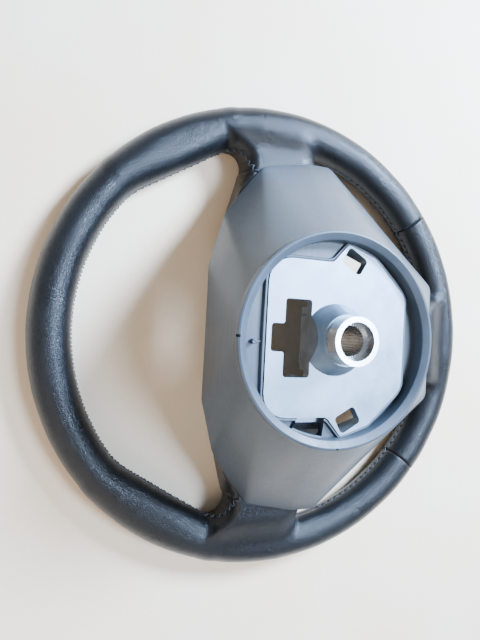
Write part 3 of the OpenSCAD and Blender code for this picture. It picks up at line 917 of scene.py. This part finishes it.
def buildCollar(material):
    top, outer = cover["collarTop"], cover["collarRadius"]
    inner, step = outer - cover["collarWidth"], collar["step"]
    bottom, lip = top - cover["cupDepth"] - 1, top - cover["lip"]
    corners = [(inner, bottom), (inner, top - collar["innerDrop"]), (outer - collar["crownIn"], top),
               (outer, top - collar["outerDrop"]), (outer, lip), (inner + step, lip),
               (inner + step, bottom)]
    piece = lathe("coverCollar", roundedProfile(corners, collar["radii"])[::-1], material)
    half = collar["notchHalf"]
    notches = []
    for turn in collar["notchAzimuths"]:
        points, faces = block((outer - collar["crownIn"], -half, top - collar["notchDepth"]),
                              (outer + 2, half, top + 2))
        cutter = makeObject("notch", points, faces, material, smooth=False)
        cutter.data.transform(Matrix.Rotation(math.radians(turn), 4, "Z"))
        cut = piece.modifiers.new("notch", "BOOLEAN")
        cut.object = cutter
        notches.append(cutter)
    finished(piece)
    for cutter in notches:
        bpy.data.objects.remove(cutter)
    sharpenByAngle(piece, collar["sharpFrom"])
    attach(piece, "root")
    print("collar built")


flange = {
    "thick": 3.0,
    "gap": 0.35,  # round the hub plate
    "lip": 2.4,  # raised edge beside the plate
    "lipWidth": 1.5,
    "lipRound": 0.5,
    "plateHalf": 48.0,
    "plateTop": 46.5,
    "plateLow": 50.0,
    "plateTip": 60.2,
    "plateTipLean": 6,
    "plateRadii": [15, 5, 2, 6, 12],
    "slotFrom": 154.0,
    "slotTo": 174.0,
    "slotReach": 60.0,
    "slotEdge": 0.01,
    "turnStep": 1.5,
    "reach": 62.6,
    "sharpFrom": 35,
    "pinAt": (-3.0, 54.0),
    "pinRadius": 1.5,
    "pinHeight": 3.4,
    "ribHalf": 0.6,
    "ribLength": 5,
    "ribBevel": 0.25,
}


# The hub plate's outline with the gap round it, as close points.
def plateOutline():
    g, half, tip = flange["gap"], flange["plateHalf"], flange["plateTip"]
    lean = math.radians(flange["plateTipLean"])
    right = [(half + g, flange["plateTop"] + g), (half + g, 4 + g / 2),
             (tip * math.cos(lean) + g, -tip * math.sin(lean) + g / 3), (half + 5 + g, -26 - g / 3),
             (30 + g / 2, -flange["plateLow"] - g)]
    radii = flange["plateRadii"]
    corners = right + [(-x, y) for x, y in reversed(right)]
    outline = np.array(roundedProfile(corners, radii + radii[::-1]))
    ends = np.roll(outline, -1, axis=0)
    shares = np.linspace(0, 1, 24, endpoint=False)[:, None, None]
    return (outline * (1 - shares) + ends * shares).reshape(-1, 2)


# Flat ring at the bottom of the cup that ends just short of the hub plate, with a pin and its rib.
def buildFlange(material):
    outline = plateOutline()
    turns = np.degrees(np.arctan2(outline[:, 1], outline[:, 0])) % 360
    order = np.argsort(turns)
    slotEnds = [end + side * flange["slotEdge"]
                for end in (flange["slotFrom"], flange["slotTo"]) for side in (-1, 1)]
    azimuths = np.sort(np.append(np.arange(0, 360, flange["turnStep"]), slotEnds))
    inner = np.interp(azimuths, turns[order], np.hypot(*outline[order].T), period=360)
    inSlot = (azimuths > flange["slotFrom"]) & (azimuths < flange["slotTo"])
    inner = np.where(inSlot, flange["slotReach"], inner)
    top = cover["collarTop"] - cover["cupDepth"]
    low = top - flange["thick"]
    edge, width = flange["lipRound"], flange["lipWidth"]
    raised, limit = top + flange["lip"], flange["reach"] - 0.4
    steps = ((0, raised - edge), (0.15, raised - 0.15), (edge, raised), (width, raised),
             (width + edge, raised - edge), (width + edge + 0.3, top))
    sections = [(inner, low)] + [(np.minimum(inner + out, limit), z) for out, z in steps]
    sections += [(np.full_like(inner, flange["reach"]), z) for z in (top, low)]
    angles = np.radians(azimuths)
    rings = [np.stack([r * np.cos(angles), r * np.sin(angles), np.full_like(r, z)], axis=1)
             for r, z in sections]
    faces = closedGrid(len(rings), len(azimuths))
    ring = makeObject("coverFlange", np.concatenate(rings), faces, material)
    mesh = bmesh.new()
    mesh.from_mesh(ring.data)
    bmesh.ops.recalc_face_normals(mesh, faces=mesh.faces)
    mesh.to_mesh(ring.data)
    mesh.free()
    sharpenByAngle(ring, flange["sharpFrom"])
    (pinX, pinY), radius, pinTop = flange["pinAt"], flange["pinRadius"], top + flange["pinHeight"]
    profile = roundedProfile([(0.02, pinTop), (radius, pinTop), (radius, top - 1), (0.02, top - 1)],
                             [0, 0.5, 0, 0])
    pin = lathe("locatingPin", profile, material, 32, (pinX, pinY))
    points, faces = block((pinX - flange["ribHalf"], pinY - flange["ribLength"], top - 0.5),
                          (pinX + flange["ribHalf"], pinY, top + 1))
    rib = makeObject("pinRib", points, faces, material, smooth=False)
    bevel = rib.modifiers.new("edges", "BEVEL")
    bevel.width = flange["ribBevel"] * mm
    bevel.segments = 2
    finished(rib)
    for part in (ring, pin, rib):
        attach(part, "root")
    print("flange built")


# Lacing: separate stitches along the edges where the leather meets

lacing = {
    "spacing": 3.1,
    "length": 3.8,
    "thread": 0.85,
    "rise": 1.4,
    "lean": 56.0,
    "seed": 4,
    "lift": 0.15,  # above the leather
    "crest": ((124.5, 27.5, 40), (134, 33.2, 33), (143.5, 38.5, 26), (146.2, 43, 20),
              (145.5, 50, 16), (137, 65, 15), (125, 84, 15), (112, 104.5, 15), (102, 119.5, 15)),
    "topFrom": 52.0,
    "slotFrom": -19.0,
    "slotTo": -67.0,
    "ringReach": 157.5,
    "ringHeight": 15.0,
    "ringStep": 1.5,
}


# A bent thread on each point, turned along the edge, stood up from the leather and leaned to the
# left and the right by turns.
def stitchTree(material):
    tree = bpy.data.node_groups.new("stitchRow", "GeometryNodeTree")
    tree.interface.new_socket("Geometry", in_out="INPUT", socket_type="NodeSocketGeometry")
    for name in ("Stitch Length", "Thread Diameter", "Rise", "Lean"):
        tree.interface.new_socket(name, in_out="INPUT", socket_type="NodeSocketFloat")
    tree.interface.new_socket("Seed", in_out="INPUT", socket_type="NodeSocketInt")
    tree.interface.new_socket("Geometry", in_out="OUTPUT", socket_type="NodeSocketGeometry")
    given = addNode(tree, "NodeGroupInput").outputs
    ends = {}
    for key, share, rise in (("Start", -0.5, 0.0), ("Start Handle", -0.3, given["Rise"]),
                             ("End Handle", 0.3, given["Rise"]), ("End", 0.5, 0.0)):
        place = addNode(tree, "ShaderNodeMath", {
            0: given["Stitch Length"], 1: share}, operation="MULTIPLY")
        ends[key] = addNode(tree, "ShaderNodeCombineXYZ", {
            "X": place.outputs[0], "Z": rise}).outputs[0]
    bend = addNode(tree, "GeometryNodeCurvePrimitiveBezierSegment", {"Resolution": 8, **ends})
    radius = addNode(tree, "ShaderNodeMath", {
        0: given["Thread Diameter"], 1: 0.5}, operation="MULTIPLY")
    section = addNode(tree, "GeometryNodeCurvePrimitiveCircle", {
        "Resolution": 7, "Radius": radius.outputs[0]})
    stitch = addNode(tree, "GeometryNodeCurveToMesh", {
        "Curve": bend.outputs["Curve"], "Profile Curve": section.outputs["Curve"],
        "Fill Caps": True})
    along, outwards = (
        addNode(tree, "GeometryNodeInputNamedAttribute", {"Name": name}, data_type="FLOAT_VECTOR")
        for name in ("along", "outwards"))
    turned = addNode(tree, "FunctionNodeAlignRotationToVector", {
        "Vector": along.outputs["Attribute"]}, axis="X")
    stood = addNode(tree, "FunctionNodeAlignRotationToVector", {
        "Rotation": turned.outputs[0], "Vector": outwards.outputs["Attribute"]},
        axis="Z", pivot_axis="X")
    index = addNode(tree, "GeometryNodeInputIndex").outputs[0]
    odd = addNode(tree, "ShaderNodeMath", {0: index, 1: 2.0}, operation="MODULO")
    side = addNode(tree, "ShaderNodeMath", {
        0: odd.outputs[0], 1: 2.0, 2: -1.0}, operation="MULTIPLY_ADD")
    loose = addNode(tree, "FunctionNodeRandomValue", {2: 0.8, 3: 1.2, "Seed": given["Seed"]})
    swing = addNode(tree, "ShaderNodeMath", {
        0: side.outputs[0], 1: loose.outputs[1]}, operation="MULTIPLY")
    angle = addNode(tree, "ShaderNodeMath", {
        0: swing.outputs[0], 1: given["Lean"]}, operation="MULTIPLY")
    lean = addNode(tree, "FunctionNodeAxisAngleToRotation", {
        "Axis": (0, 0, 1), "Angle": angle.outputs[0]})
    leaned = addNode(tree, "FunctionNodeRotateRotation", {
        "Rotation": stood.outputs[0], "Rotate By": lean.outputs[0]}, rotation_space="LOCAL")
    placed = addNode(tree, "GeometryNodeInstanceOnPoints", {
        "Points": given["Geometry"], "Instance": stitch.outputs["Mesh"],
        "Rotation": leaned.outputs[0]})
    solid = addNode(tree, "GeometryNodeRealizeInstances", {"Geometry": placed.outputs[0]})
    smooth = addNode(tree, "GeometryNodeSetShadeSmooth", {"Geometry": solid.outputs[0]})
    dressed = addNode(tree, "GeometryNodeSetMaterial", {
        "Geometry": smooth.outputs[0], "Material": material})
    addNode(tree, "NodeGroupOutput", {"Geometry": dressed.outputs[0]})
    return tree


# Points a stitch apart along the corners, with the bends rounded.
def spacedPath(corners):
    corners = np.array(corners, float)
    dense = np.concatenate([
        np.linspace(a, b, 40, endpoint=False) for a, b in zip(corners, corners[1:])])
    for _ in range(60):
        dense[1:-1] = 0.5 * dense[1:-1] + 0.25 * (dense[:-2] + dense[2:])
    run = np.append(0, np.cumsum(np.linalg.norm(np.diff(dense, axis=0), axis=1)))
    places = np.arange(0, run[-1], lacing["spacing"])
    return np.stack([np.interp(places, run, dense[:, k]) for k in range(3)], axis=1)


def buildStitches(name, corners, node, tree):
    points = settle(leatherField, spacedPath(corners), 6)
    outwards = slopeOf(leatherField, points, 0.8)
    outwards /= np.linalg.norm(outwards, axis=1)[:, None]
    piece = makeObject(name, points + outwards * lacing["lift"], [], None)
    along = np.gradient(points, axis=0)
    for key, values in (("along", along), ("outwards", outwards)):
        attribute = piece.data.attributes.new(key, "FLOAT_VECTOR", "POINT")
        attribute.data.foreach_set("vector", values.ravel())
    modifier = piece.modifiers.new("stitches", "NODES")
    modifier.node_group = tree
    sizes = {"Stitch Length": lacing["length"] * mm, "Thread Diameter": lacing["thread"] * mm,
             "Rise": lacing["rise"] * mm, "Lean": math.radians(lacing["lean"]),
             "Seed": lacing["seed"]}
    for item in tree.interface.items_tree:
        if item.in_out == "INPUT" and item.name in sizes:
            modifier[item.identifier] = sizes[item.name]
    finished(piece)
    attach(piece, "root")
    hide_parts(node)
    print(name, len(points), "stitches")


# Along the inside of the grip, from one azimuth to another.
def ringPath(start, end):
    step = lacing["ringStep"] * np.sign(end - start)
    turns = np.radians(np.arange(start, end + 0.01 * np.sign(end - start), step))
    reach = lacing["ringReach"]
    return [(reach * math.cos(a), reach * math.sin(a), lacing["ringHeight"]) for a in turns]


def mirrored(path):
    return [(-x, y, z) for x, y, z in reversed(path)]


# Everything is made here

setWorld(paleRoom)
addCamera(photoView)
for lamp in lights:
    addLight(lamp)
print("camera and lights placed")

leather = leatherMaterial("blackGrainLeather", leatherLook)
coverPlastic = mouldedMaterial("grainedPolypropylene", coverLook)
foam = mouldedMaterial("mouldedRimFoam", foamLook)
castMetal = metalMaterial("dieCastMagnesium", castLook)
steel = metalMaterial("turnedSteel", steelLook)
thread = threadMaterial("waxedThread", threadLook)
print("materials made")

wide = 2500
corners = [(-wide, -wide, 0), (wide, -wide, 0), (wide, wide, 0), (-wide, wide, 0)]
floor = makeObject("floor", corners, [(0, 1, 2, 3)], floorMaterial("paleFloor", floorLook))

buildPanel("upperLeather", upperField, "upper_leather", panel["upperBox"], leather)
buildPanel("lowerLeather", lowerField, "lower_leather", panel["lowerBox"], leather)
buildFoam(foam)
buildCoverSkin(coverPlastic)
buildCollar(coverPlastic)
buildFlange(coverPlastic)
crest = list(lacing["crest"]) + ringPath(lacing["topFrom"], 90)
stitchRow = stitchTree(thread)
buildStitches("upperStitches", crest + mirrored(crest)[1:], "upper_lacing", stitchRow)
slotEdge = ringPath(lacing["slotFrom"], lacing["slotTo"])
buildStitches("rightSlotStitches", slotEdge, "right_slot_lacing", stitchRow)
buildStitches("leftSlotStitches", mirrored(slotEdge), "left_slot_lacing", stitchRow)

cadLooks = {"armature": castMetal, "splined_bush": steel, "cover_screws": steel}
for nodeName, look in cadLooks.items():
    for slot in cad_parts[nodeName].material_slots:
        slot.material = look
print("CAD nodes dressed")
